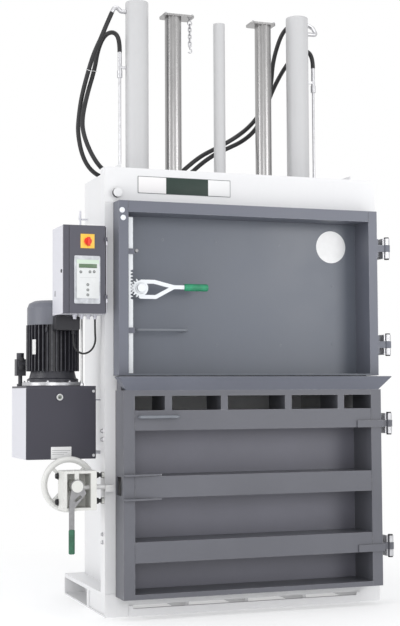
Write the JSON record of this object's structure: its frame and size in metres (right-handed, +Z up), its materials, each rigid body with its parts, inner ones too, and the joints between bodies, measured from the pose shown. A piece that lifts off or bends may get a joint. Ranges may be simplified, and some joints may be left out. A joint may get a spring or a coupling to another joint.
{
  "type": "recycling baler",
  "caption": "Upright hydraulic press with a split swinging front, a platen on guided rods, an outside motor and tank, a control cabinet and a hand-wheel door lock.",
  "frame": {"origin": "on the floor, in the middle of the machine, in the front plane of its posts", "axes": "+X to the right as seen from the front, +Y to the back, +Z up"},
  "size_m": [1.786, 0.958, 2.9928],
  "materials": {
    "white_paint": "satin",
    "grey_paint": "satin",
    "light_grey_paint": "satin",
    "mid_paint": "satin",
    "dark_paint": "satin",
    "bright_steel": "polished",
    "green_grip": "matte",
    "red_plastic": "satin",
    "black_rubber": "matte"
  },
  "bodies": {
    "frame": {"base_floor_plate": "white_paint", "base_feet": "white_paint", "base_front_beam": "white_paint", "post_left": "white_paint", "post_right": "white_paint", "side_wall_left": "white_paint", "side_wall_right": "white_paint", "back_wall": "white_paint", "crosshead_front_beam": "white_paint", "deck_plate": "white_paint", "cylinder_left": "white_paint", "cylinder_right": "white_paint", "centre_tube": "bright_steel", "hinge_brackets": "white_paint", "hinge_pins": "bright_steel", "lock_cage": "light_grey_paint", "oil_tank": "light_grey_paint", "tank_cover": "dark_paint", "tank_lid": "light_grey_paint", "motor_ring": "bright_steel", "motor_housing": "dark_paint", "motor_cowl": "mid_paint", "terminal_box": "dark_paint", "valve_block": "dark_paint", "cabinet_box": "light_grey_paint", "cabinet_board": "light_grey_paint", "cabinet_conduit": "dark_paint", "hose_manifold": "dark_paint", "rod_side_pipes": "bright_steel", "port_elbows": "bright_steel", "hose_left_outer": "black_rubber", "hose_left_inner": "black_rubber", "hose_right_outer": "black_rubber", "hose_right_inner": "black_rubber", "motor_cable": "black_rubber"},
    "upper_door": {"upper_door_frame": "grey_paint", "upper_door_panel": "grey_paint", "upper_door_handle": "grey_paint", "latch_guides": "grey_paint"},
    "latch_bar_body": {"latch_bar": "grey_paint"},
    "latch_lever_body": {"latch_lever": "grey_paint", "latch_grip": "green_grip"},
    "lower_door": {"lower_door_stiles": "grey_paint", "lower_door_panel": "grey_paint", "lower_door_beams": "grey_paint", "lower_door_top_rail": "grey_paint", "lower_door_lip": "grey_paint", "lower_door_handle": "grey_paint"},
    "platen_body": {"platen": "white_paint", "piston_rods": "bright_steel", "guide_tubes": "bright_steel", "chain": "bright_steel"},
    "hand_wheel_body": {"hand_wheel": "light_grey_paint"},
    "draw_bolt_body": {"draw_bolt": "bright_steel"},
    "release_lever_body": {"release_lever": "light_grey_paint", "release_grip": "green_grip"},
    "cabinet_door_body": {"cabinet_door": "light_grey_paint", "keypad": "dark_paint"},
    "switch_knob_body": {"switch_knob": "red_plastic"},
    "motor_fan_body": {"motor_fan": "dark_paint"}
  },
  "joints": [
    {"name": "upper_door_swing", "type": "hinge", "parent": "frame", "child": "upper_door", "pos_m": [0.722, -0.08, 1.5], "axis": [0, 0, 1], "range_deg": [0, 110]},
    {"name": "latch_lever_turn", "type": "hinge", "parent": "upper_door", "child": "latch_lever_body", "pos_m": [-0.5445, -0.05, 1.514], "axis": [0, -1, 0], "range_deg": [0, 60]},
    {"name": "latch_bar_slide", "type": "slide", "parent": "upper_door", "child": "latch_bar_body", "axis": [0, 0, -1], "range_m": [0, 0.0446]},
    {"name": "lower_door_swing", "type": "hinge", "parent": "frame", "child": "lower_door", "pos_m": [0.722, -0.08, 0.57], "axis": [0, 0, 1], "range_deg": [0, 110]},
    {"name": "platen_stroke", "type": "slide", "parent": "frame", "child": "platen_body", "axis": [0, 0, 1], "range_m": [-0.8, 0]},
    {"name": "hand_wheel_turn", "type": "hinge", "parent": "frame", "child": "hand_wheel_body", "pos_m": [-0.857, 0.07, 0.609], "axis": [0, 1, 0], "range_deg": [0, 1080]},
    {"name": "draw_bolt_slide", "type": "slide", "parent": "frame", "child": "draw_bolt_body", "axis": [1, 0, 0], "range_m": [0, 0.04]},
    {"name": "release_lever_turn", "type": "hinge", "parent": "frame", "child": "release_lever_body", "pos_m": [-0.857, -0.092, 0.609], "axis": [0, 1, 0], "range_deg": [0, 60]},
    {"name": "cabinet_door_swing", "type": "hinge", "parent": "frame", "child": "cabinet_door_body", "pos_m": [-0.709, -0.058, 1.6], "axis": [0, 0, 1], "range_deg": [0, 100]},
    {"name": "switch_knob_turn", "type": "hinge", "parent": "cabinet_door_body", "child": "switch_knob_body", "pos_m": [-0.799, -0.06, 1.724], "axis": [0, 1, 0], "range_deg": [0, 90]},
    {"name": "fan_spin", "type": "hinge", "parent": "frame", "child": "motor_fan_body", "pos_m": [-0.881, 0.286, 1.3], "axis": [0, 0, 1], "continuous": true}
  ],
  "couplings": [
    {"joint": "latch_bar_slide", "follows": "latch_lever_turn", "m_per_rad": 0.0425},
    {"joint": "draw_bolt_slide", "follows": "hand_wheel_turn", "m_per_rad": 0.002122}
  ]
}
